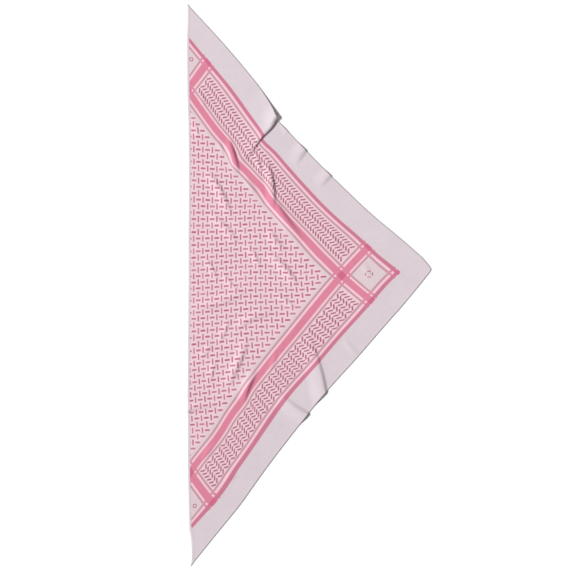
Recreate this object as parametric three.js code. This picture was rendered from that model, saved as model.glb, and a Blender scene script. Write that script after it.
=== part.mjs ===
import * as THREE from 'three';

// A knitted triangle scarf lying flat on a table, in millimetres, with +Z up.
// The long edge runs along Y and the corner between the short edges points to +X.
// The origin is under the middle of the scarf, on the surface that it lies on.

// Driving sizes of the laid-out scarf
const halfLength = 800;
const longEdgeX = -345;
const reach = 578;
const stretch = 111;
const cornerRounding = 5;

// Thickness of the cloth and of the finished edges
const clothThickness = 1.5;
const edgingThickness = 2.1;
const seamGap = 0.45;
const bindingWidth = 8;
const edgingWidth = 3.6;

// Distance from each edge to the corner opposite it, used to turn widths into shares
const depthFromLongEdge = 690;
const depthFromShortEdge = 1050;

// How far in from a short edge the patterned band and the plain border go, as shares
const bandShare = 0.28;
const borderShare = 0.06;

// One row for each section across the scarf, from the upper tip (-1) to the lower tip (1).
// left moves the long edge, rise moves the section along Y, tilt turns it,
// band widens the part near the short edge and edge widens only its plain border.
const sections = [
  { along: -1.0, left: -4, rise: 0, tilt: 0, band: 0, edge: 0 },
  { along: -0.85, left: -5, rise: 16, tilt: 0, band: 0, edge: 6 },
  { along: -0.7, left: -3, rise: 18, tilt: 0, band: -3, edge: 8 },
  { along: -0.58, left: 0, rise: 18, tilt: -20, band: -7, edge: 3 },
  { along: -0.45, left: 0, rise: 18, tilt: -34, band: -5, edge: 14 },
  { along: -0.3, left: 0, rise: 16, tilt: -28, band: 0, edge: 25 },
  { along: -0.15, left: -1, rise: 8, tilt: 18, band: 0, edge: 20 },
  { along: -0.06, left: -1, rise: 6, tilt: 29, band: 0, edge: 19 },
  { along: 0.0, left: -1, rise: 6, tilt: 32, band: 0, edge: 6 },
  { along: 0.15, left: -2, rise: 8, tilt: 42, band: 15, edge: 8 },
  { along: 0.3, left: -3, rise: 2, tilt: 72, band: 17, edge: 22 },
  { along: 0.45, left: -4, rise: 5, tilt: 70, band: 2, edge: 30 },
  { along: 0.6, left: -4, rise: 12, tilt: 40, band: 0, edge: 28 },
  { along: 0.8, left: 0, rise: 10, tilt: 40, band: 0, edge: 29 },
  { along: 1.0, left: 6, rise: 0, tilt: 0, band: 0, edge: 0 },
];

// The tuck: near the upper short edge the cloth stands up and leans over itself.
// cloth is the distance along the cloth from the tuck, across is where that point lies
// in plan, and height is how far it stands above the table.
const tuckShare = 0.5875;
const tuckReach = 0.19;
const tuckSlopeLimit = 300;
const tuckDirection = new THREE.Vector2(0.9, -0.43);
const tuckProfile = [
  { cloth: -300, across: -300, height: 0 },
  { cloth: -70, across: -60, height: 0 },
  { cloth: -35, across: -25.5, height: 4.5 },
  { cloth: -14, across: -6, height: 10.5 },
  { cloth: -5, across: 2.2, height: 12 },
  { cloth: 1, across: 5.1, height: 8.8 },
  { cloth: 7, across: 6, height: 4.2 },
  { cloth: 13, across: 8.4, height: 1.1 },
  { cloth: 20, across: 13, height: 0 },
  { cloth: 60, across: 52, height: 0 },
  { cloth: 300, across: 300, height: 0 },
];

// The largest soft folds, each a ridge between two places in plan.
// bow bends the ridge sideways, width is from its crest to its foot, lean makes its
// left-hand side steeper, and an open ridge is highest where it runs off the edge.
const folds = [
  { from: [-112, 356], to: [-90, 226], bow: 9, width: 25, height: 6, lean: 0.3, open: false },
  { from: [-112, 262], to: [-18, 128], bow: -6, width: 27, height: 6.5, lean: 0.3, open: false },
  { from: [-226, 392], to: [-190, 300], bow: 6, width: 25, height: 6, lean: 0.3, open: false },
  { from: [-298, 335], to: [-222, 190], bow: 8, width: 26, height: 5, lean: 0.3, open: false },
  { from: [-285, 200], to: [-205, 118], bow: 8, width: 25, height: 4.5, lean: 0.3, open: false },
  { from: [-116, 160], to: [-68, 98], bow: -5, width: 25, height: 4.5, lean: 0.3, open: false },
  { from: [-116, 90], to: [-34, -4], bow: 8, width: 26, height: 5.5, lean: 0.3, open: false },
  { from: [-345, -66], to: [-180, -18], bow: -10, width: 28, height: 4.5, lean: -0.2, open: false },
  { from: [-215, -132], to: [-95, -84], bow: 16, width: 26, height: 4.5, lean: -0.2, open: false },
  { from: [-178, -150], to: [-238, -292], bow: 5, width: 25, height: 5, lean: 0.2, open: false },
  { from: [-342, -360], to: [-258, -344], bow: 6, width: 22, height: 5, lean: -0.2, open: false },
  { from: [42, -305], to: [-8, -138], bow: -6, width: 23, height: 8, lean: -0.3, open: true },
  { from: [-12, -366], to: [-84, -314], bow: 3, width: 22, height: 8, lean: -0.3, open: true },
  { from: [-150, -242], to: [-190, -335], bow: -4, width: 25, height: 6.5, lean: 0.3, open: false },
  { from: [-12, 388], to: [-44, 344], bow: 0, width: 22, height: 6.5, lean: 0.2, open: true },
  { from: [52, 308], to: [26, 280], bow: 0, width: 21, height: 6, lean: 0.2, open: true },
];

// Places where the cloth was eased sideways as it was laid.
// at is the place before it moved, move is how far it went, and reach is how wide that spreads.
const slides = [
  { at: [-12, -183], move: [-6, -12], reach: 90 },
  { at: [-255, -430], move: [7, -6], reach: 80 },
  { at: [-27, 242], move: [-5, 7], reach: 85 },
  { at: [-150, 200], move: [-4, 4], reach: 60 },
  { at: [-20, 50], move: [-4, -4], reach: 70 },
  { at: [-201, 349], move: [-10, 0], reach: 26 },
  { at: [-238, 400], move: [6, 0], reach: 35 },
  { at: [-135, 276], move: [7, 0], reach: 32 },
  { at: [-118, 404], move: [-8, 0], reach: 28 },
  { at: [246, 48], move: [7, 2], reach: 42 },
  { at: [-243, -584], move: [5, 0], reach: 50 },
  { at: [-189, -340], move: [7, 0], reach: 36 },
  { at: [-178, 10], move: [0, 4], reach: 80 },
];

// Lines of the cloth's grid, as shares: closest at the tuck, wider apart away from it
const finestStep = 0.0042;
const fineLines = 6;
const stepGrowth = 1.32;
const widestStep = 0.0188;

const clothColour = '#e3d0d9';
const edgingColour = '#efe2e8';

// A smooth curve through a table: the named column at a given value of the key column
function readTable(rows, key, column, at) {
  const last = rows.length - 1;
  const value = THREE.MathUtils.clamp(at, rows[0][key], rows[last][key]);
  let k = 0;
  while (k < last - 1 && rows[k + 1][key] < value) k += 1;
  const slopeAt = (i) => {
    const before = rows[Math.max(i - 1, 0)];
    const after = rows[Math.min(i + 1, last)];
    return (after[column] - before[column]) / (after[key] - before[key]);
  };
  const span = rows[k + 1][key] - rows[k][key];
  const t = (value - rows[k][key]) / span;
  const fromStart = (2 * t ** 3 - 3 * t ** 2 + 1) * rows[k][column];
  const fromEnd = (3 * t ** 2 - 2 * t ** 3) * rows[k + 1][column];
  const bendStart = (t ** 3 - 2 * t ** 2 + t) * span * slopeAt(k);
  const bendEnd = (t ** 3 - t ** 2) * span * slopeAt(k + 1);
  return fromStart + fromEnd + bendStart + bendEnd;
}

// How much of an effect is left at a share of the way to its end: 1 at the start, 0 past the end
function fade(share) {
  return THREE.MathUtils.clamp(1 - share, 0, 1);
}

// Height of one soft fold at a place in plan
function foldHeight(fold, x, y) {
  const start = new THREE.Vector2(...fold.from);
  const axis = new THREE.Vector2(...fold.to).sub(start);
  const length = axis.length();
  axis.normalize();
  const offset = new THREE.Vector2(x, y).sub(start);
  const share = offset.dot(axis) / length;
  const shareOnFold = THREE.MathUtils.clamp(share, 0, 1);
  if (share > 1 || (share < 0 && !fold.open)) return 0;
  const bend = fold.bow * 4 * shareOnFold * (1 - shareOnFold);
  const aside = axis.x * offset.y - axis.y * offset.x - bend;
  const width = fold.width * (1 + (aside > 0 ? -fold.lean : fold.lean));
  if (Math.abs(aside) > width) return 0;
  const lengthwise = fold.open ? Math.cos(shareOnFold * Math.PI / 2) : Math.sin(shareOnFold * Math.PI);
  return fold.height * lengthwise * Math.cos(aside / width * Math.PI / 2) ** 2;
}

// How far all the slides together move a place in plan
function slideAt(x, y) {
  const moved = new THREE.Vector2();
  for (const { at, move, reach: spread } of slides) {
    const near = Math.exp(-((x - at[0]) ** 2 + (y - at[1]) ** 2) / spread ** 2);
    moved.add(new THREE.Vector2(...move).multiplyScalar(near));
  }
  return moved;
}

// The underside of the cloth. p and q are shares of the way in from the upper and the
// lower short edge, so the share in from the long edge is 1 - p - q.
function clothPoint(p, q) {
  const inward = 1 - p - q;
  const along = p - q;
  const at = (column) => readTable(sections, 'along', column, along);
  const rim = Math.min(p, q);
  const corner = cornerRounding * fade((1 - inward) / 0.02) ** 2;
  const widening = at('band') * fade(rim / bandShare) + at('edge') * fade(rim / borderShare);
  const depth = reach * inward + stretch * inward ** 2;
  const flatX = longEdgeX + at('left') * (1 - inward) + depth + widening - corner;
  const flatY = -halfLength * along + at('rise') + at('tilt') * inward;
  const slide = slideAt(flatX, flatY);

  const fromTuck = (tuckShare - q) * depthFromShortEdge;
  const tuckStrength = THREE.MathUtils.smoothstep(fade(p / tuckReach), 0, 1);
  const inPlan = readTable(tuckProfile, 'cloth', 'across', fromTuck);
  const slip = Math.abs(fromTuck) < tuckSlopeLimit ? (inPlan - fromTuck) * tuckStrength : 0;
  const x = flatX + slide.x + slip * tuckDirection.x;
  const y = flatY + slide.y + slip * tuckDirection.y;

  const tuckHeight = readTable(tuckProfile, 'cloth', 'height', fromTuck) * tuckStrength;
  const height = folds.reduce((sum, fold) => sum + foldHeight(fold, x, y), Math.max(tuckHeight, 0));
  return new THREE.Vector3(x, y, height);
}

// The direction that faces away from the underside, square to the cloth
function clothNormal(p, q) {
  const step = 0.0006;
  const alongP = clothPoint(p + step, q).sub(clothPoint(p - step, q));
  const alongQ = clothPoint(p, q + step).sub(clothPoint(p, q - step));
  return alongQ.cross(alongP).normalize();
}

// A closed wall of cloth over a set of places. Each place has p, q and a thickness,
// the triangles face up, and the rim lists the places round the edge in turn.
function clothWall(places, triangles, rim) {
  const vertices = [];
  for (const place of places) vertices.push(clothPoint(place.p, place.q));
  for (const [i, place] of places.entries()) {
    const lift = clothNormal(place.p, place.q).multiplyScalar(place.thickness);
    vertices.push(vertices[i].clone().add(lift));
  }
  const count = places.length;
  const index = [];
  for (const [a, b, c] of triangles) {
    index.push(a + count, b + count, c + count);
    index.push(a, c, b);
  }
  for (const [k, a] of rim.entries()) {
    const b = rim[(k + 1) % rim.length];
    index.push(a, b, b + count);
    index.push(a, b + count, a + count);
  }
  const geometry = new THREE.BufferGeometry().setFromPoints(vertices);
  geometry.setIndex(index);
  geometry.computeVertexNormals();
  return geometry;
}

// Shares of the grid's lines from 0 to 1, stepping out from the tuck both ways
function gridLines() {
  const walk = (room) => {
    const line = [];
    let step = finestStep;
    let gone = 0;
    while (gone + step * 0.6 < room) {
      gone += step;
      line.push(gone);
      if (line.length >= fineLines) step = Math.min(step * stepGrowth, widestStep);
    }
    const stretchToEnd = room / gone;
    return line.map((share) => share * stretchToEnd);
  };
  const below = walk(tuckShare).map((share) => tuckShare - share).reverse();
  const above = walk(1 - tuckShare).map((share) => tuckShare + share);
  below[0] = 0;
  above[above.length - 1] = 1;
  return [...below, tuckShare, ...above];
}

// Shares of the scarf that the finished edges take, and where the panel then starts
const bindingShare = bindingWidth / depthFromLongEdge;
const edgingShare = edgingWidth / depthFromShortEdge;
const panelStartLong = bindingShare + seamGap / depthFromLongEdge;
const panelStartShort = edgingShare + seamGap / depthFromShortEdge;
const panelSpan = 1 - panelStartLong - 2 * panelStartShort;

const lines = gridLines();
const cells = lines.length - 1;
const panelQ = lines.map((share) => panelStartShort + share * panelSpan);
const panelP = lines.map((_, i) => panelStartShort + (1 - lines[cells - i]) * panelSpan);

// The triangular panel: a grid of lines at a steady p crossed by lines at a steady q
function panelGeometry() {
  const places = [];
  const number = lines.map(() => []);
  for (let i = 0; i <= cells; i += 1) {
    for (let j = 0; j <= cells - i; j += 1) {
      number[i][j] = places.length;
      places.push({ p: panelP[i], q: panelQ[j], thickness: clothThickness });
    }
  }
  const triangles = [];
  for (let i = 0; i < cells; i += 1) {
    for (let j = 0; j < cells - i; j += 1) {
      triangles.push([number[i][j], number[i][j + 1], number[i + 1][j]]);
      if (j < cells - i - 1) {
        triangles.push([number[i + 1][j], number[i][j + 1], number[i + 1][j + 1]]);
      }
    }
  }
  const rim = [];
  for (let j = 0; j < cells; j += 1) rim.push(number[0][j]);
  for (let i = 0; i < cells; i += 1) rim.push(number[i][cells - i]);
  for (let i = cells; i > 0; i -= 1) rim.push(number[i][0]);
  return clothWall(places, triangles, rim);
}

// A finished edge: a strip between two rails of places, thickest along its middle
function stripGeometry(outer, inner) {
  const rails = [
    { share: 0, thickness: edgingThickness * 0.6 },
    { share: 0.35, thickness: edgingThickness },
    { share: 1, thickness: edgingThickness * 0.85 },
  ];
  const across = rails.length;
  const places = outer.flatMap((start, k) => rails.map((rail) => ({
    p: THREE.MathUtils.lerp(start.p, inner[k].p, rail.share),
    q: THREE.MathUtils.lerp(start.q, inner[k].q, rail.share),
    thickness: rail.thickness,
  })));
  const triangles = [];
  const last = outer.length - 1;
  for (let k = 0; k < last; k += 1) {
    for (let r = 0; r < across - 1; r += 1) {
      const a = k * across + r;
      triangles.push([a, a + 1, a + across]);
      triangles.push([a + 1, a + across + 1, a + across]);
    }
  }
  const rim = [];
  for (let r = 0; r < across - 1; r += 1) rim.push(r);
  for (let k = 0; k < last; k += 1) rim.push(k * across + across - 1);
  for (let r = across - 1; r > 0; r -= 1) rim.push(last * across + r);
  for (let k = last; k > 0; k -= 1) rim.push(k * across);
  return clothWall(places, triangles, rim);
}

// The binding runs the whole long edge, from the lower tip to the upper tip
function bindingGeometry() {
  const shares = [0];
  for (const q of panelQ) shares.push(q / (1 - panelStartLong));
  shares.push(1);
  const rail = (inward) => shares.map((share) => ({
    p: (1 - share) * (1 - inward),
    q: share * (1 - inward),
  }));
  return stripGeometry(rail(0), rail(bindingShare));
}

// The upper edging runs from the binding at the upper tip round to the corner
function upperEdgingGeometry() {
  const rail = (p) => {
    const places = panelQ.slice(0, cells).map((q) => ({ p, q }));
    return [{ p, q: 0 }, ...places, { p, q: 1 - p - panelStartLong }].reverse();
  };
  return stripGeometry(rail(0), rail(edgingShare));
}

// The lower edging runs from the upper edging at the corner to the binding at the lower tip
function lowerEdgingGeometry() {
  const rail = (q) => {
    const places = panelP.slice(0, cells).map((p) => ({ p, q }));
    return [...places, { p: 1 - q - panelStartLong, q }];
  };
  return stripGeometry(rail(0), rail(edgingShare));
}

function piece(name, geometry, color) {
  const material = new THREE.MeshStandardMaterial({ color, roughness: 0.9, metalness: 0 });
  const mesh = new THREE.Mesh(geometry, material);
  mesh.name = name;
  return mesh;
}

const scarf = new THREE.Group();
scarf.add(piece('scarf_panel', panelGeometry(), clothColour));
scarf.add(piece('long_edge_binding', bindingGeometry(), edgingColour));
scarf.add(piece('upper_edging', upperEdgingGeometry(), edgingColour));
scarf.add(piece('lower_edging', lowerEdgingGeometry(), edgingColour));

export default scarf;
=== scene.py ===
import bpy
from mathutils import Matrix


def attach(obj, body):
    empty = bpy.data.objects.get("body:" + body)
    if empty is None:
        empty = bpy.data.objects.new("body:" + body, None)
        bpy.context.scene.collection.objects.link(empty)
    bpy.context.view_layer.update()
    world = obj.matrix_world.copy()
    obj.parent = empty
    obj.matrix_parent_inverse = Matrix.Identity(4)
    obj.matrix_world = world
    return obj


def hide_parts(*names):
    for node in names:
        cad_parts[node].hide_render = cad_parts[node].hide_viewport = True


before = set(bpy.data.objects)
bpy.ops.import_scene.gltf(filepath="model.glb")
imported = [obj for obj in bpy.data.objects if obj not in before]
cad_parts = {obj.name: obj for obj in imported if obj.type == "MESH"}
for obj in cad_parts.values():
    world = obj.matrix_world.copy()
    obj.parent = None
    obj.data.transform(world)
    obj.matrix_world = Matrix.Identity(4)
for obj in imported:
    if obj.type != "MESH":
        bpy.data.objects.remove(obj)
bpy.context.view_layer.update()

import bpy
import numpy as np
from mathutils import Vector

print("frame loaded:", ", ".join(sorted(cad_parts)))

# The camera looks straight down on the scarf through a long lens.
# Its distance is the width that the picture shows x lens / sensor.
photoView = dict(centre=(-0.0698, 0.0), pictureWidth=1.6228, lens=135.0, sensor=36.0, clipEnd=100.0)


def makeCamera(view):
    data = bpy.data.cameras.new("photo_camera")
    data.lens = view["lens"]
    data.sensor_width = view["sensor"]
    data.clip_end = view["clipEnd"]
    camera = bpy.data.objects.new("photo_camera", data)
    distance = view["pictureWidth"] * view["lens"] / view["sensor"]
    camera.location = (*view["centre"], distance)
    bpy.context.scene.collection.objects.link(camera)
    bpy.context.scene.camera = camera


makeCamera(photoView)
print("camera set")


# The laid-out cloth, in millimetres. p and q are shares of the way in from the upper
# and the lower short edge, so the share in from the long edge is 1 - p - q, and
# along = p - q runs from -1 at the upper tip to 1 at the lower tip.
cloth = dict(
    halfLength=800.0, longEdgeX=-345.0, reach=578.0, stretch=111.0,
    cornerRounding=5.0, cornerShare=0.02,
    depthFromLongEdge=690.0, depthFromShortEdge=1050.0,
    bandShare=0.28, borderShare=0.06, slopeStep=0.0006,
    # left moves the long edge, rise moves the section along Y, tilt turns it, band and
    # edge widen the part near a short edge, drift slides the knitted pattern inward and
    # shift slides it towards the lower tip
    sectionColumns=("along", "left", "rise", "tilt", "band", "edge", "drift", "shift"),
    sections=[
        (-1.0, -4, 0, 0, 0, 0, 0, 0.004),
        (-0.85, -5, 16, 0, 0, 6, 0, 0.0035),
        (-0.7, -3, 18, 0, -3, 8, 0.004, 0.0027),
        (-0.58, 0, 18, -20, -7, 3, 0, 0),
        (-0.45, 0, 18, -34, -5, 14, 0, 0),
        (-0.3, 0, 16, -28, 0, 25, 0, 0),
        (-0.15, -1, 8, 18, 0, 20, 0, 0),
        (-0.06, -1, 6, 29, 0, 19, 0, 0),
        (0.0, -1, 6, 32, 0, 6, 0, 0),
        (0.15, -2, 8, 42, 15, 8, 0.001, 0),
        (0.3, -3, 2, 72, 17, 22, 0.003, 0),
        (0.45, -4, 5, 70, 2, 30, 0.007, 0),
        (0.6, -4, 12, 40, 0, 28, 0.010, 0.001),
        (0.8, 0, 10, 40, 0, 29, 0.006, 0.0065),
        (0.9, 2.4, 5.4, 21, 0, 15.6, 0.002, -0.002),
        (1.0, 6, 0, 0, 0, 0, 0, -0.004),
    ],
)

# The tuck near the upper short edge, where the cloth stands up and leans over itself.
# share is its place in from the lower short edge, reach how far it runs in from the upper one,
# and direction the way it gathers the cloth, as far as gatherLimit from it. In its profile,
# cloth is the distance along the cloth, across is where that lies in plan, and height is
# above the floor.
tuck = dict(
    share=0.5875, reach=0.19, gatherLimit=300.0, direction=(0.9, -0.43),
    profileColumns=("cloth", "across", "height"),
    profile=[
        (-300, -300, 0),
        (-110, -100.5, 0),
        (-60, -50.4, 2.4),
        (-30, -20.6, 4.8),
        (-14, -5.2, 7.4),
        (-5, 3, 9.2),
        (0, 7, 8.8),
        (4, 8.6, 6.8),
        (8, 7, 4.2),
        (12, 5, 2.1),
        (17, 6.4, 0.6),
        (24, 14, 0),
        (60, 52, 0),
        (300, 300, 0),
    ],
)

# Soft folds, each a ridge between two places in plan. The columns are start, end, bow (how far
# it bends sideways), width (from crest to foot), height, lean (how much steeper its left-hand
# side is) and opened (whether it runs off the cloth's edge at its start, where it is highest).
folds = [
    ((-125, 358), (-104, 216), 9, 17, 6, 0.5, False),
    ((-112, 262), (-18, 128), -6, 20, 5.5, 0.45, False),
    ((-232, 416), (-202, 322), 1, 16, 7, 0.5, False),
    ((-298, 335), (-222, 190), 8, 18, 4, 0.4, False),
    ((-285, 200), (-205, 118), 8, 17, 3.5, 0.4, False),
    ((-116, 160), (-68, 98), -5, 17, 3.5, 0.4, False),
    ((-116, 90), (-34, -4), 8, 18, 4.5, 0.4, False),
    ((-345, -66), (-180, -18), -10, 20, 3.5, -0.3, False),
    ((-215, -132), (-95, -84), 16, 18, 3.5, -0.3, False),
    ((-178, -150), (-238, -292), 5, 18, 4, 0.3, False),
    ((-346, -358), (-262, -346), 4, 12, 4.5, -0.5, True),
    ((42, -305), (-8, -138), -6, 30, 5.2, -0.62, True),
    ((-12, -366), (-84, -314), 3, 27, 5.5, -0.6, True),
    ((-150, -242), (-190, -335), -4, 18, 6, 0.45, False),
    ((-12, 388), (-44, 344), 0, 24, 3.6, 0.55, True),
    ((52, 308), (26, 280), 0, 22, 3, 0.55, True),
]

# Finer creases that the dressed cloth adds, in the same columns
creases = [
    ((-92, 488), (-118, 456), 0, 24, 3.2, 0.6, True),
    ((-155, 372), (-138, 318), 3, 9, 3, 0.4, False),
    ((-98, -26), (-38, -66), 3, 10, 2.5, 0.4, False),
    ((56, 146), (90, 98), 0, 12, 1.5, 0.3, False),
    ((-262, 412), (-244, 372), 2, 10, 1.8, 0.4, False),
    ((-190, 310), (-150, 262), 2, 11, 2.4, 0.4, False),
    ((-300, 80), (-262, 10), 4, 12, 2, 0.4, False),
    ((-250, 40), (-196, -22), -4, 12, 2, 0.4, False),
    ((-180, 120), (-140, 44), 5, 12, 2.2, 0.4, False),
    ((-262, -170), (-230, -96), -4, 12, 2, -0.4, False),
    ((-318, -214), (-276, -166), -3, 12, 2, -0.4, False),
    ((-286, -288), (-262, -206), 3, 12, 1.8, -0.4, False),
    ((-120, -250), (-92, -196), -3, 10, 2, -0.4, False),
    ((-306, -500), (-262, -452), 3, 11, 2.2, -0.4, False),
    ((-332, 470), (-316, 420), 2, 10, 1.6, 0.4, False),
    ((-316, 556), (-296, 508), 2, 10, 1.6, 0.4, False),
    ((150, 64), (176, 20), 2, 14, 1.4, 0.3, False),
    ((96, -150), (140, -196), -3, 14, 1.4, 0.3, False),
    ((-84, 470), (-60, 430), 2, 12, 1.4, 0.3, False),
    ((-240, -560), (-206, -540), 2, 12, 1.8, -0.3, False),
]

# Places where the cloth was eased sideways as it was laid: where, how far, and how wide
slides = [
    ((-12, -183), (-6, -12), 90),
    ((-255, -430), (7, -6), 80),
    ((-27, 242), (-5, 7), 85),
    ((-150, 200), (-4, 4), 60),
    ((-20, 50), (-4, -4), 70),
    ((-201, 349), (-10, 0), 26),
    ((-238, 400), (6, 0), 35),
    ((-135, 276), (7, 0), 32),
    ((-118, 404), (-8, 0), 28),
    ((246, 48), (7, 2), 42),
    ((-243, -584), (5, 0), 50),
    ((-189, -340), (7, 0), 36),
    ((-178, 10), (0, 4), 80),
    ((345, 42), (1, 7), 42),
    ((-92, 482), (-6.5, 0), 30),
]


def fade(share):
    # 1 at the start of an effect, 0 at its end and past it
    return np.clip(1.0 - share, 0.0, 1.0)


def softStep(share):
    # 3 share^2 - 2 share^3, level at 0 and at 1
    return (3 - 2 * share) * share**2


def readTable(rows, columns, key, column, at):
    # smooth curve through a table: on each span with t from 0 to 1,
    # (2t^3-3t^2+1) a + (3t^2-2t^3) b + span ((t^3-2t^2+t) slopeA + (t^3-t^2) slopeB)
    table = np.array(rows, float)
    keys, values = table[:, columns.index(key)], table[:, columns.index(column)]
    before = np.maximum(np.arange(len(keys)) - 1, 0)
    after = np.minimum(np.arange(len(keys)) + 1, len(keys) - 1)
    slopes = (values[after] - values[before]) / (keys[after] - keys[before])
    at = np.clip(at, keys[0], keys[-1])
    k = np.clip(np.searchsorted(keys, at) - 1, 0, len(keys) - 2)
    span = keys[k + 1] - keys[k]
    t = (at - keys[k]) / span
    ends = (2 * t**3 - 3 * t**2 + 1) * values[k] + (3 * t**2 - 2 * t**3) * values[k + 1]
    return ends + span * ((t**3 - 2 * t**2 + t) * slopes[k] + (t**3 - t**2) * slopes[k + 1])


def layOut(p, q):
    # x = longEdge + left (1-h) + reach h + stretch h^2 + widening - corner rounding and
    # y = rise + tilt h - halfLength x along, with h = 1-p-q
    inward, along = 1 - p - q, p - q
    at = {name: readTable(cloth["sections"], cloth["sectionColumns"], "along", name, along)
          for name in ("left", "rise", "tilt", "band", "edge")}
    rim = np.minimum(p, q)
    corner = cloth["cornerRounding"] * fade((1 - inward) / cloth["cornerShare"]) ** 2
    widening = at["band"] * fade(rim / cloth["bandShare"]) + at["edge"] * fade(rim / cloth["borderShare"])
    x = cloth["longEdgeX"] + at["left"] * (1 - inward) + widening - corner
    x = x + cloth["reach"] * inward + cloth["stretch"] * inward**2
    y = -cloth["halfLength"] * along + at["rise"] + at["tilt"] * inward
    return x, y


def ease(x, y):
    # each slide adds its move x exp(-(distance from it / its reach)^2)
    easedX, easedY = x, y
    for (atX, atY), (moveX, moveY), reach in slides:
        near = np.exp(-((x - atX) ** 2 + (y - atY) ** 2) / reach**2)
        easedX, easedY = easedX + moveX * near, easedY + moveY * near
    return easedX, easedY


def foldHeights(x, y, rows):
    # each fold adds height x (sine along it) x cos^2 (a quarter turn from crest to foot);
    # aside is the distance from its line, which the bow bends by bow x 4 s (1-s)
    total = np.zeros_like(x)
    for start, end, bow, width, height, lean, opened in rows:
        axis = np.subtract(end, start)
        length = np.hypot(*axis)
        axis = axis / length
        share = ((x - start[0]) * axis[0] + (y - start[1]) * axis[1]) / length
        onFold = np.clip(share, 0.0, 1.0)
        aside = axis[0] * (y - start[1]) - axis[1] * (x - start[0]) - bow * 4 * onFold * (1 - onFold)
        reach = width * np.where(aside > 0, 1 - lean, 1 + lean)
        lengthwise = np.cos(onFold * np.pi / 2) if opened else np.sin(onFold * np.pi)
        inside = (np.abs(aside) < reach) & (share <= 1) & (opened | (share >= 0))
        total += np.where(inside, height * lengthwise * np.cos(aside / reach * np.pi / 2) ** 2, 0)
    return total


def clothPoints(p, q):
    # the laid-out and eased place, gathered at the tuck by (across - cloth) x strength, where
    # strength fades from the short edge to the tuck's reach; heights of tuck and folds add up
    x, y = ease(*layOut(p, q))
    fromTuck = (tuck["share"] - q) * cloth["depthFromShortEdge"]
    strength = softStep(fade(p / tuck["reach"]))
    across, height = (readTable(tuck["profile"], tuck["profileColumns"], "cloth", name, fromTuck)
                      for name in ("across", "height"))
    slip = np.where(np.abs(fromTuck) < tuck["gatherLimit"], (across - fromTuck) * strength, 0)
    x, y = x + slip * tuck["direction"][0], y + slip * tuck["direction"][1]
    folded = foldHeights(x, y, folds) + foldHeights(x, y, creases)
    return np.stack([x, y, np.maximum(height * strength, 0) + folded], axis=-1)


def clothNormals(p, q):
    # cross product of the cloth's slopes along q and along p
    step = cloth["slopeStep"]
    alongP = clothPoints(p + step, q) - clothPoints(p - step, q)
    alongQ = clothPoints(p, q + step) - clothPoints(p, q - step)
    normal = np.cross(alongQ, alongP)
    return normal / np.linalg.norm(normal, axis=-1, keepdims=True)


def patternPlace(p, q):
    # where the knitted pattern is read: p + drift - shift and q + drift + shift
    drift, shift = (readTable(cloth["sections"], cloth["sectionColumns"], "along", name, p - q)
                    for name in ("drift", "shift"))
    return np.stack([p + drift - shift, q + drift + shift], axis=-1)


# Every mesh is worked out in millimetres and made in metres, with the pattern's place as its
# UV map. Edges of the panel that turn more than rimAngle are creased, so its rim shades cleanly.
meshing = dict(millimetre=0.001, uvMap="pattern", rimAngle=1.0)


def makeMesh(name, points, faces, uvs, flatFaces=None):
    # place in Blender = points x millimetre; only the flat faces aren't shaded smooth
    mesh = bpy.data.meshes.new(name)
    mesh.from_pydata((points * meshing["millimetre"]).tolist(), [], faces.tolist())
    corners = np.empty(len(mesh.loops), np.int32)
    mesh.loops.foreach_get("vertex_index", corners)
    layer = mesh.uv_layers.new(name=meshing["uvMap"])
    layer.data.foreach_set("uv", uvs[corners].astype(np.float32).ravel())
    smooth = np.ones(len(faces), bool)
    if flatFaces is not None:
        smooth[flatFaces] = False
    mesh.polygons.foreach_set("use_smooth", smooth)
    if flatFaces is not None:
        mesh.set_sharp_from_angle(angle=meshing["rimAngle"])
    mesh.validate()
    piece = bpy.data.objects.new(name, mesh)
    bpy.context.scene.collection.objects.link(piece)
    return piece


# The panel: a triangular grid of cells, finest at the tuck, with a top and an underside
panel = dict(
    cells=298, thickness=1.4, seamGap=0.35, bindingWidth=8.0, edgingWidth=3.6,
    finerAtTuck=3.0, fineZone=0.03, densitySamples=4001,
)


def gridLines(count):
    # lines evenly spaced in the running total of 1 + finer x exp(-((s - tuck) / zone)^2)
    s = np.linspace(0, 1, panel["densitySamples"])
    density = 1 + panel["finerAtTuck"] * np.exp(-((s - tuck["share"]) / panel["fineZone"]) ** 2)
    total = np.concatenate([[0], np.cumsum((density[1:] + density[:-1]) / 2)])
    return np.interp(np.linspace(0, total[-1], count + 1), total, s)


bindingShare = panel["bindingWidth"] / cloth["depthFromLongEdge"]
edgingShare = panel["edgingWidth"] / cloth["depthFromShortEdge"]
panelStartLong = bindingShare + panel["seamGap"] / cloth["depthFromLongEdge"]
panelStartShort = edgingShare + panel["seamGap"] / cloth["depthFromShortEdge"]


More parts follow.
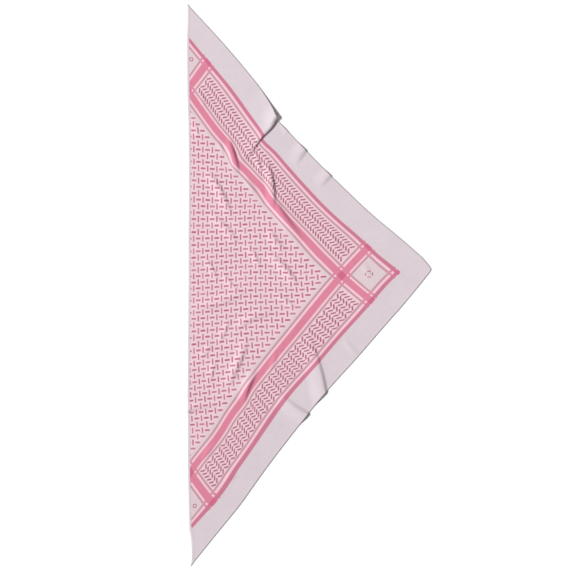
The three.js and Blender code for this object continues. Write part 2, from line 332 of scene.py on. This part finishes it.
def makePanel():
    # underside = cloth point, top = underside + normal x thickness, and sides join their rims;
    # i counts the cells in from the upper short edge, and j those in from the lower one
    cells = panel["cells"]
    lines = gridLines(cells)
    span = 1 - panelStartLong - 2 * panelStartShort
    i, j = np.meshgrid(np.arange(cells + 1), np.arange(cells + 1), indexing="ij")
    kept = i + j <= cells
    number = np.full(i.shape, -1)
    number[kept] = np.arange(kept.sum())
    p = panelStartShort + (1 - lines[cells - i[kept]]) * span
    q = panelStartShort + lines[j[kept]] * span
    underside = clothPoints(p, q)
    top = underside + clothNormals(p, q) * panel["thickness"]
    a, b = number[:-1, :-1], number[:-1, 1:]
    c, d = number[1:, :-1], number[1:, 1:]
    lower, upper = (i + j)[:-1, :-1] < cells, (i + j)[:-1, :-1] < cells - 1
    up = np.concatenate([np.stack([a, b, c], -1)[lower], np.stack([c, b, d], -1)[upper]])
    steps = np.arange(cells)
    rim = np.concatenate([number[0, steps], number[steps, cells - steps], number[cells - steps, 0]])
    count, following = kept.sum(), np.roll(rim, -1)
    side = np.concatenate([
        np.stack([rim, following, following + count], -1),
        np.stack([rim, following + count, rim + count], -1),
    ])
    faces = np.concatenate([up + count, up[:, ::-1], side])
    sideFaces = np.arange(2 * len(up), len(faces))
    uvs = np.tile(patternPlace(p, q), (2, 1))
    return makeMesh("knitted_panel", np.concatenate([underside, top]), faces, uvs, sideFaces)


# The finished edges: a profile carried along the seam, ridged by the thread of each stitch.
# A profile goes across the strip, from the outer edge at 0 to the seam at 1 and on into the
# panel's rim, and gives the height as a share of the thickness. Lengths are in millimetres.
edging = dict(
    thickness=2.1, stitchPitch=2.6, stitchRelief=0.05, stitchSlant=0.7, stationsPerStitch=6,
    upperLength=1040.0, lowerLength=1090.0, tipShare=0.1,
    profile=[(0, 0.12), (0.02, 0.5), (0.12, 0.82), (0.3, 1.0), (0.5, 0.98), (0.72, 0.93), (1, 0.83),
             (1.2, 0.73), (1.4, 0.655), (1.5, 0.6)],
    undersideAcross=(0.97, 0.66, 0.33, 0.03),
)
binding = dict(
    thickness=2.1, stitchPitch=3.0, stitchRelief=0.05, stitchSlant=0.0, stationsPerStitch=4,
    length=1600.0,
    profile=[(0, 0.12), (0.015, 0.5), (0.08, 0.8), (0.2, 0.97), (0.4, 1.0), (0.62, 0.96), (0.76, 0.9),
             (0.82, 0.82), (0.88, 0.89), (0.97, 0.83), (1.05, 0.72), (1.12, 0.655), (1.16, 0.6)],
    undersideAcross=(0.98, 0.66, 0.33, 0.02),
)


def makeStrip(name, settings, place, length):
    # a closed ring of profile points at each station s: cloth point + normal x height, where
    # height = thickness x profile x (1 + relief x cos(turns along the seam + slant x across))
    stations = int(length / settings["stitchPitch"] * settings["stationsPerStitch"]) + 1
    s = np.linspace(0, 1, stations)
    across, height = np.array(settings["profile"], float).T
    under = np.array(settings["undersideAcross"])
    across, height = np.concatenate([across, under]), np.concatenate([height, 0 * under])
    along, across = np.meshgrid(s, across, indexing="ij")
    p, q = place(along, across)
    turns = along * length / settings["stitchPitch"] + settings["stitchSlant"] * across
    relief = 1 + settings["stitchRelief"] * np.cos(2 * np.pi * turns)
    lift = settings["thickness"] * height[None, :] * relief
    ring = across.shape[1]
    points = (clothPoints(p, q) + clothNormals(p, q) * lift[..., None]).reshape(-1, 3)
    uvs = patternPlace(p, q).reshape(-1, 2)
    number = np.arange(stations * ring).reshape(stations, ring)
    a, b = number[:-1], number[1:]
    quads = np.stack([a, np.roll(a, -1, 1), np.roll(b, -1, 1), b], -1).reshape(-1, 4)
    triangles = np.concatenate([quads[:, [0, 1, 2]], quads[:, [0, 2, 3]]])
    caps = []
    for row, turn in ((number[0], -1), (number[-1], 1)):
        fan = np.stack([np.full(ring - 2, row[0]), row[1:-1], row[2:]], -1)
        caps.append(fan[:, ::turn])
    return makeMesh(name, points, np.concatenate([triangles, *caps]), uvs)


def alongBinding(s, across):
    # from the lower tip to the upper one, as p = (1-s) (1-inward) and q = s (1-inward)
    inward = across * bindingShare
    return (1 - s) * (1 - inward), s * (1 - inward)


def alongUpperEdge(s, across):
    # from the upper tip, where the strip is cut to meet the binding, to the corner
    p = across * edgingShare
    return p, (1 - s) * (1 - panelStartLong) - p * fade(s / edging["tipShare"])


def alongLowerEdge(s, across):
    # from the upper strip to the lower tip, where this one is cut to meet the binding
    q = across * edgingShare
    p = panelStartShort + s * (1 - panelStartLong - panelStartShort)
    return p - q * fade((1 - s) / edging["tipShare"]), q


knittedPanel = makePanel()
longEdgeBinding = makeStrip("edge_binding", binding, alongBinding, binding["length"])
upperEdging = makeStrip("upper_stitched_edge", edging, alongUpperEdge, edging["upperLength"])
lowerEdging = makeStrip("lower_stitched_edge", edging, alongLowerEdge, edging["lowerLength"])
for piece in (knittedPanel, longEdgeBinding, upperEdging, lowerEdging):
    print(piece.name, len(piece.data.polygons), "triangles")


# Colours as they show on a screen from 0 to 255, and how strongly the lights lift them
knitColours = dict(
    exposure=1.17,
    border=(226, 212, 219), ground=(245, 212, 221), margin=(230, 211, 216), halo=(251, 223, 231),
    red=(229, 137, 163), outerRed=(211, 127, 152), crossing=(216, 110, 143), gap=(252, 208, 219),
    dusky=(207, 153, 168), dash=(194, 108, 136), bandDash=(182, 106, 129), bandGround=(245, 212, 221),
    binding=(236, 224, 230), edging=(216, 203, 210),
)


def paint(name):
    # screen value to linear light by the sRGB curve, over what the lights multiply it by
    channel = np.array(knitColours[name]) / 255
    linear = np.where(channel <= 0.04045, channel / 12.92, ((channel + 0.055) / 1.055) ** 2.4)
    return (*(linear / knitColours["exposure"]), 1.0)


class Flow:
    # one number running through a node tree, so that a formula can be written as a formula
    def __init__(self, tree, source):
        self.tree, self.source = tree, source

    def calc(self, operation, *others):
        node = self.tree.nodes.new("ShaderNodeMath")
        node.operation = operation
        for socket, value in zip(node.inputs, (self, *others)):
            if isinstance(value, Flow):
                self.tree.links.new(value.source, socket)
            else:
                socket.default_value = value
        return Flow(self.tree, node.outputs[0])

    def __add__(self, other):
        return self.calc("ADD", other)

    def __sub__(self, other):
        return self.calc("SUBTRACT", other)

    def __mul__(self, other):
        return self.calc("MULTIPLY", other)

    def __rsub__(self, other):
        return (self * -1.0) + other

    def __or__(self, other):
        # the larger of the two, so that two areas join
        return self.calc("MAXIMUM", other)

    def magnitude(self):
        return self.calc("ABSOLUTE")

    def round(self):
        return self.calc("ROUND")

    def wrap(self):
        # what is past the whole number below
        return self - self.calc("FLOOR")

    def above(self, edge, soft):
        # (value - edge) / (2 soft) + 0.5, kept from 0 to 1: a soft step up at the edge
        return ((self - edge) * (0.5 / soft) + 0.5).calc("MINIMUM", 1.0).calc("MAXIMUM", 0.0)

    def below(self, edge, soft):
        return 1 - self.above(edge, soft)

    def between(self, low, high, soft):
        return self.above(low, soft) * self.below(high, soft)


def joined(areas):
    # all the areas as one, the largest value at each place
    total = areas[0]
    for area in areas[1:]:
        total = total | area
    return total


# The knitted pattern. Stripes, cells and bands are in shares of the way in from a short
# edge, and the sizes of dashes are in millimetres, as half a length and half a width.
pattern = dict(
    inwardMm=650.0, alongMm=800.0, softShare=0.0009, softMm=0.9,
    borderEnd=0.0575,
    outerRed=(0.0593, 0.0684), wideRed=(0.1558, 0.1744), crossRed=(0.8305, 0.8515),
    lightGaps=[(0.0684, 0.0755), (0.1503, 0.1558), (0.1744, 0.1808), (0.8245, 0.8305), (0.8515, 0.8575)],
    duskyLines=[(0.0755, 0.081), (0.1452, 0.1505), (0.1808, 0.1862), (0.819, 0.8245), (0.8575, 0.863)],
    # basket of dashes in the middle: firstColumn lies at firstInward, and row 0 lies firstRow
    # cells from the middle towards the lower tip; dashes have a paler halo and uneven yarn
    cell=0.022, firstInward=0.6, firstColumn=18, firstRow=3, fieldStart=0.195, fieldSoft=0.003,
    basketInward=(7.8, 2.9), basketAlong=(8.7, 2.3),
    haloMm=2.2, haloSoftMm=1.6, haloStrength=0.6, weakestYarn=0.8,
    # herringbone in the bands: rows a step apart, alternately inward and along
    rowStep=0.0145, dashStep=0.0099, dashStart=0.1965, upperRow=0.0925, lowerRow=0.200,
    bandAcross=(0.0865, 0.1415), bandAlong=(0.190, 0.8165),
    groundAcross=(0.0825, 0.1435), groundAlong=(0.1865, 0.8185),
    herringInward=(7.2, 2.2), herringAlong=(8.2, 2.1), herringRise=0.18,
    # small plain motifs in the corner square and in the part squares at the tips: place and spread
    motifs=[(0.1128, 0.1128, 8.5), (0.097, 0.884, 4.5), (0.884, 0.097, 4.5)], motifDash=(4.6, 1.3),
)


def patternShares(tree):
    # p and q, as the UV map holds them
    uv = tree.nodes.new("ShaderNodeUVMap")
    uv.uv_map = meshing["uvMap"]
    parts = tree.nodes.new("ShaderNodeSeparateXYZ")
    tree.links.new(uv.outputs[0], parts.inputs[0])
    return Flow(tree, parts.outputs[0]), Flow(tree, parts.outputs[1])


def capsule(longways, sideways, size):
    # distance from a rounded bar: |(max(|long| - straight, 0), side)| - half width
    halfLength, halfWidth = size
    past = (longways.magnitude() - (halfLength - halfWidth)).calc("MAXIMUM", 0.0)
    return (past * past + sideways * sideways).calc("SQRT") - halfWidth


def nearestOdd(value, count):
    # distance to the nearest whole number whose parity differs from count's
    return (((value - count) * 0.5).wrap() - 0.5) * 2.0


def centreInside(column, row):
    # a dash shows whole if its centre is inside the middle field
    h = (column - pattern["firstColumn"]) * pattern["cell"] + pattern["firstInward"]
    g = (row + pattern["firstRow"]) * pattern["cell"]
    centreP, centreQ = (1 - h + g) * 0.5, (1 - h - g) * 0.5
    edge = (pattern["fieldStart"], pattern["softShare"])
    return centreP.above(*edge) * centreQ.above(*edge)


def yarnTone(tree, column, row):
    # a yarn strength from the weakest to 1, different in each cell
    place = tree.nodes.new("ShaderNodeCombineXYZ")
    tree.links.new(column.source, place.inputs[0])
    tree.links.new(row.source, place.inputs[1])
    noise = tree.nodes.new("ShaderNodeTexWhiteNoise")
    noise.noise_dimensions = "2D"
    tree.links.new(place.outputs[0], noise.inputs["Vector"])
    weakest = pattern["weakestYarn"]
    return Flow(tree, noise.outputs["Value"]) * (1 - weakest) + weakest


def basket(tree, p, q):
    # in each whole row dashes lie inward, centred where row and column differ in parity, and in
    # each whole column they stand along, centred where the two agree; returns dashes and halo
    cell = pattern["cell"]
    column = (1 - (p + q) - pattern["firstInward"]) * (1 / cell) + pattern["firstColumn"]
    row = (p - q) * (1 / cell) - pattern["firstRow"]
    inwardCell, alongCell = cell * pattern["inwardMm"], cell * pattern["alongMm"]
    rowNumber, columnNumber = row.round(), column.round()
    offInward, offRow = nearestOdd(column, rowNumber), row - rowNumber
    offAlong, offColumn = nearestOdd(row, columnNumber - 1), column - columnNumber
    lying = capsule(offInward * inwardCell, offRow * alongCell, pattern["basketInward"])
    standing = capsule(offAlong * alongCell, offColumn * inwardCell, pattern["basketAlong"])
    lyingShown = centreInside(column - offInward, rowNumber)
    standingShown = centreInside(columnNumber, row - offAlong)

    def within(distance, soft):
        return lying.below(distance, soft) * lyingShown | standing.below(distance, soft) * standingShown

    dashes = within(0.0, pattern["softMm"]) * yarnTone(tree, columnNumber, rowNumber)
    return dashes, within(pattern["haloMm"], pattern["haloSoftMm"]) * pattern["haloStrength"]


def inBand(across, along, acrossRange, alongRange):
    # 1 where both places are in their ranges, 0 elsewhere
    soft = pattern["softShare"]
    return across.between(*acrossRange, soft) * along.between(*alongRange, soft)


def herringbone(p, q, firstRow, upper):
    # rows of constant p with dashes a step apart in q, in the upper and the lower band alike;
    # even rows lie inward with a slight rise and odd rows lie along
    place = (p - firstRow) * (1 / pattern["rowStep"])
    row = place.round()
    odd = (row * 0.5).wrap() * 2.0
    step = (q - pattern["dashStart"]) * (1 / pattern["dashStep"])
    dp, dq = (place - row) * pattern["rowStep"], (step - step.round()) * pattern["dashStep"]
    dx, dy = (dp + dq) * -pattern["inwardMm"], (dp - dq) * -pattern["alongMm"]
    flat = capsule(dx, dy - dx * pattern["herringRise"], pattern["herringInward"])
    steep = capsule(dy, dx, pattern["herringAlong"])
    distance = flat * (1 - odd) + steep * odd
    across, along = (p - dp, q - dq) if upper else (q - dq, p - dp)
    shown = inBand(across, along, pattern["bandAcross"], pattern["bandAlong"])
    return distance.below(0.0, pattern["softMm"]) * shown


def knitMotifs(p, q):
    # a plain lozenge of four dashes round each centre
    motifs = []
    for centreP, centreQ, spread in pattern["motifs"]:
        dx = (p + q - (centreP + centreQ)) * -pattern["inwardMm"]
        dy = (p - q - (centreP - centreQ)) * -pattern["alongMm"]
        upright = capsule(dy, dx.magnitude() - spread, pattern["motifDash"])
        level = capsule(dx, dy.magnitude() - spread, pattern["motifDash"])
        motifs.append(upright.calc("MINIMUM", level).below(0.0, pattern["softMm"]))
    return joined(motifs)


def stripes(place, *ranges):
    # 1 where the place is in any of the ranges, 0 elsewhere
    return joined([place.between(low, high, pattern["softShare"]) for low, high in ranges])


def stripeAreas(p, q):
    # how the stripes of the two edges cross: gaps stay light over plain knit and over each
    # other, dusky lines stay dusky over plain knit, and both turn red over a dusky line
    redRanges = (pattern["outerRed"], pattern["wideRed"], pattern["crossRed"])
    redP, redQ = stripes(p, *redRanges), stripes(q, *redRanges)
    gapP, gapQ = stripes(p, *pattern["lightGaps"]), stripes(q, *pattern["lightGaps"])
    duskP, duskQ = stripes(p, *pattern["duskyLines"]), stripes(q, *pattern["duskyLines"])
    plainP, plainQ = (1 - gapP) * (1 - duskP), (1 - gapQ) * (1 - duskQ)
    return [
        ("gap", gapP * gapQ | gapP * plainQ | gapQ * plainP),
        ("dusky", duskP * plainQ | duskQ * plainP),
        ("red", duskP * duskQ | duskP * gapQ | gapP * duskQ),
        ("red", redP | redQ),
        ("outerRed", stripes(p, pattern["outerRed"]) | stripes(q, pattern["outerRed"])),
        ("crossing", redP * redQ),
    ]


def knitPattern(tree):
    # the border's colour with each area's colour mixed over it in turn, inside the border only
    p, q = patternShares(tree)
    grounds = (pattern["groundAcross"], pattern["groundAlong"])
    border = (pattern["borderEnd"], pattern["softShare"])
    field = (pattern["fieldStart"], pattern["fieldSoft"])
    dashes, halo = basket(tree, p, q)
    inside = p.above(*border) * q.above(*border)
    areas = [
        ("bandGround", inBand(p, q, *grounds) | inBand(q, p, *grounds)),
        ("ground", p.above(*field) * q.above(*field)),
        ("halo", halo),
        ("dash", dashes),
        ("bandDash", herringbone(p, q, pattern["upperRow"], True)
         | herringbone(p, q, pattern["lowerRow"], False)),
        ("dash", knitMotifs(p, q)),
        *stripeAreas(p, q),
    ]
    colour = None
    for name, area in [("margin", inside), *((name, area * inside) for name, area in areas)]:
        mix = tree.nodes.new("ShaderNodeMix")
        mix.data_type = "RGBA"
        if colour is None:
            mix.inputs["A"].default_value = paint("border")
        else:
            tree.links.new(colour, mix.inputs["A"])
        mix.inputs["B"].default_value = paint(name)
        tree.links.new(area.source, mix.inputs["Factor"])
        colour = mix.outputs["Result"]
    return colour


def newMaterial(name):
    material = bpy.data.materials.new(name)
    material.use_nodes = True
    tree = material.node_tree
    tree.nodes.clear()
    shader = tree.nodes.new("ShaderNodeBsdfPrincipled")
    output = tree.nodes.new("ShaderNodeOutputMaterial")
    tree.links.new(shader.outputs[0], output.inputs[0])
    return material, tree, shader


# Fine knit: wales run along the long edge, and each course crosses them. The colour carries a painted
# shade: scaled at the cloth's middle, painted lighter per metre towards the upper tip and darker towards
# the lower one.
knitFeel = dict(
    waleMm=1.7, courseMm=1.3, courseShare=0.3, bumpDepth=0.00035, bumpStrength=0.3,
    paintedShadeAtMiddle=0.975, paintedLightPerMetre=0.04, noiseDetail=3.0,
    blotches=[(11.0, 0.05), (70.0, 0.04)],  # how many to a metre, and how strong
    surface={"Roughness": 0.92, "Sheen Weight": 0.12, "Sheen Roughness": 0.6, "Specular IOR Level": 0.2},
)


def knitRelief(tree):
    # height of the loops: |sin(pi inward / wale)| x (1 - share + share |sin(pi along / course)|)
    p, q = patternShares(tree)
    share = knitFeel["courseShare"]
    wale = ((p + q) * (np.pi * pattern["inwardMm"] / knitFeel["waleMm"])).calc("SINE").magnitude()
    course = ((p - q) * (np.pi * pattern["alongMm"] / knitFeel["courseMm"])).calc("SINE").magnitude()
    return wale * (course * share + (1 - share))


def yarnBlotchesAndPaintedShade(tree):
    # blotches of two sizes, each from 1 - strength to 1 + strength, x a painted shade, middle value +
    # per-metre value x Y
    place = tree.nodes.new("ShaderNodeTexCoord")
    parts = tree.nodes.new("ShaderNodeSeparateXYZ")
    tree.links.new(place.outputs["Object"], parts.inputs[0])
    # painted shade: lighter towards the upper tip and darker towards the lower one, as the light falls
    tone = Flow(tree, parts.outputs[1]) * knitFeel["paintedLightPerMetre"] + knitFeel["paintedShadeAtMiddle"]
    for perMetre, strength in knitFeel["blotches"]:
        noise = tree.nodes.new("ShaderNodeTexNoise")
        noise.inputs["Scale"].default_value = perMetre
        noise.inputs["Detail"].default_value = knitFeel["noiseDetail"]
        tree.links.new(place.outputs["Object"], noise.inputs["Vector"])
        tone = tone * ((Flow(tree, noise.outputs["Fac"]) - 0.5) * (2 * strength) + 1.0)
    return tone


def knitMaterial(name, plainColour=None):
    # the pattern or a plain colour x uneven yarn and a painted shade from tip to tip, with the loops as a
    # bump and a soft sheen
    material, tree, shader = newMaterial(name)
    scaled = tree.nodes.new("ShaderNodeVectorMath")
    scaled.operation = "SCALE"
    if plainColour is None:
        tree.links.new(knitPattern(tree), scaled.inputs[0])
    else:
        scaled.inputs[0].default_value = paint(plainColour)[:3]
    tree.links.new(yarnBlotchesAndPaintedShade(tree).source, scaled.inputs["Scale"])
    tree.links.new(scaled.outputs[0], shader.inputs["Base Color"])
    bump = tree.nodes.new("ShaderNodeBump")
    bump.inputs["Strength"].default_value = knitFeel["bumpStrength"]
    bump.inputs["Distance"].default_value = knitFeel["bumpDepth"]
    tree.links.new(knitRelief(tree).source, bump.inputs["Height"])
    tree.links.new(bump.outputs[0], shader.inputs["Normal"])
    for socket, value in knitFeel["surface"].items():
        shader.inputs[socket].default_value = value
    return material


knittedPanel.data.materials.append(knitMaterial("fine_knit"))
longEdgeBinding.data.materials.append(knitMaterial("binding_knit", "binding"))
edgingKnit = knitMaterial("edging_knit", "edging")
for piece in (upperEdging, lowerEdging):
    piece.data.materials.append(edgingKnit)
print("materials made")

for piece, node, slot in (
    (knittedPanel, "scarf_panel", "knit"),
    (longEdgeBinding, "long_edge_binding", "edging"),
    (upperEdging, "upper_edging", "edging"),
    (lowerEdging, "lower_edging", "edging"),
):
    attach(piece, "root")
    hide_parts(node)


# The light comes from the left and a little above, high enough to keep shadows short.
# The room is faintly warm and the lamp faintly cool, so the floor between them stays white.
studio = dict(
    floorSize=30.0, floorLevel=-0.0003, floorWhite=0.9, floorRoughness=1.0, floorGloss=0.0,
    roomLight=0.27, roomTint=(1.0, 0.92, 0.94),
    sunFrom=(-2.9, 0.4, 2.55), sunStrength=4.17, sunTint=(0.975, 1.0, 0.993), sunSoftness=0.12,
)


def makeFloor(settings):
    half = settings["floorSize"] / 2
    mesh = bpy.data.meshes.new("floor")
    corners = [(-half, -half), (half, -half), (half, half), (-half, half)]
    mesh.from_pydata([(x, y, settings["floorLevel"]) for x, y in corners], [], [(0, 1, 2, 3)])
    floor = bpy.data.objects.new("floor", mesh)
    bpy.context.scene.collection.objects.link(floor)
    material, tree, shader = newMaterial("white_floor")
    shader.inputs["Base Color"].default_value = (*[settings["floorWhite"]] * 3, 1)
    shader.inputs["Roughness"].default_value = settings["floorRoughness"]
    shader.inputs["Specular IOR Level"].default_value = settings["floorGloss"]
    mesh.materials.append(material)


def lightStudio(settings):
    world = bpy.data.worlds.new("studio")
    world.use_nodes = True
    world.node_tree.nodes["Background"].inputs["Color"].default_value = (*settings["roomTint"], 1)
    world.node_tree.nodes["Background"].inputs["Strength"].default_value = settings["roomLight"]
    bpy.context.scene.world = world
    lamp = bpy.data.lights.new("window_light", "SUN")
    lamp.energy = settings["sunStrength"]
    lamp.color = settings["sunTint"]
    lamp.angle = settings["sunSoftness"]
    window = bpy.data.objects.new("window_light", lamp)
    window.rotation_mode = "QUATERNION"
    window.rotation_quaternion = Vector(settings["sunFrom"]).to_track_quat("Z", "Y")
    bpy.context.scene.collection.objects.link(window)
    bpy.context.scene.view_settings.view_transform = "Standard"


makeFloor(studio)
lightStudio(studio)
print("studio lit")
